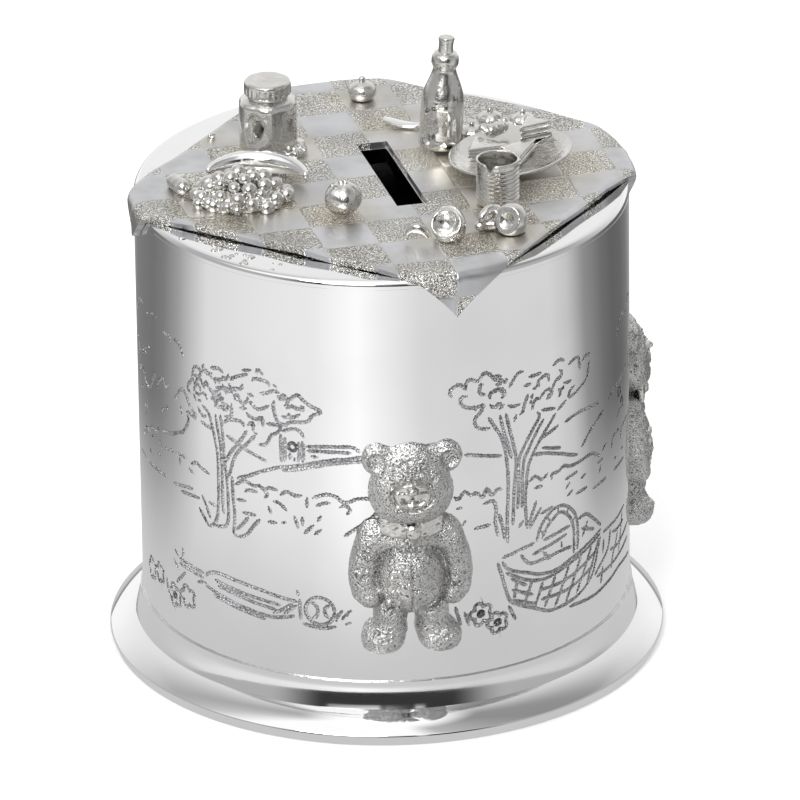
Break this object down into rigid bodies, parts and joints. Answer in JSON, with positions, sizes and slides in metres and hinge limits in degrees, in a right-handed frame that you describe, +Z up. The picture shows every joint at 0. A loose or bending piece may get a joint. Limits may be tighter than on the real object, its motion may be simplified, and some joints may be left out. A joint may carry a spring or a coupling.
{
  "type": "coin bank",
  "caption": "Cylindrical pewter coin bank on a flared foot, with cast bears on an engraved wall, a cast picnic cloth lid with a coin slot, and a pull-out base stopper.",
  "frame": {"origin": "centre of the foot's underside, at table height", "axes": "+Z up along the drum's axis; the coin slot runs along Y, the front bear looks towards -Y and the side bear towards +X"},
  "size_m": [0.1024, 0.1024, 0.1129],
  "materials": {
    "polished_pewter": "mirror polished",
    "spun_pewter": "satin, spun",
    "cast_pewter": "cast, half polished",
    "cloth_pewter": "cast, with smooth and stippled checks",
    "stopper_plastic": "satin"
  },
  "bodies": {
    "bank": {"drum_shell": "polished_pewter", "top_plate": "polished_pewter", "foot_ring": "polished_pewter", "base_plate": "spun_pewter", "picnic_cloth": "cloth_pewter", "front_bear": "cast_pewter", "side_bear": "cast_pewter", "honey_jar": "cast_pewter", "bottle": "cast_pewter", "grape_bunch": "cast_pewter", "banana": "polished_pewter", "fruit_end": "cast_pewter", "apple": "cast_pewter", "iced_bun": "cast_pewter", "cake_1": "cast_pewter", "cake_2": "cast_pewter", "cake_3": "cast_pewter", "cake_4": "cast_pewter", "butter_knife": "polished_pewter", "picnic_plate": "cast_pewter", "sandwich_1": "cast_pewter", "sandwich_2": "cast_pewter", "sandwich_3": "cast_pewter", "bread_roll": "cast_pewter", "beaker": "cast_pewter", "split_bun": "cast_pewter", "peach_half": "cast_pewter", "peach_slice": "cast_pewter", "crumb": "cast_pewter"},
    "stopper": {"base_stopper": "stopper_plastic"}
  },
  "joints": [
    {"name": "stopper_pull", "type": "slide", "parent": "bank", "child": "stopper", "axis": [0, 0, -1], "range_m": [0, 0.03]}
  ]
}
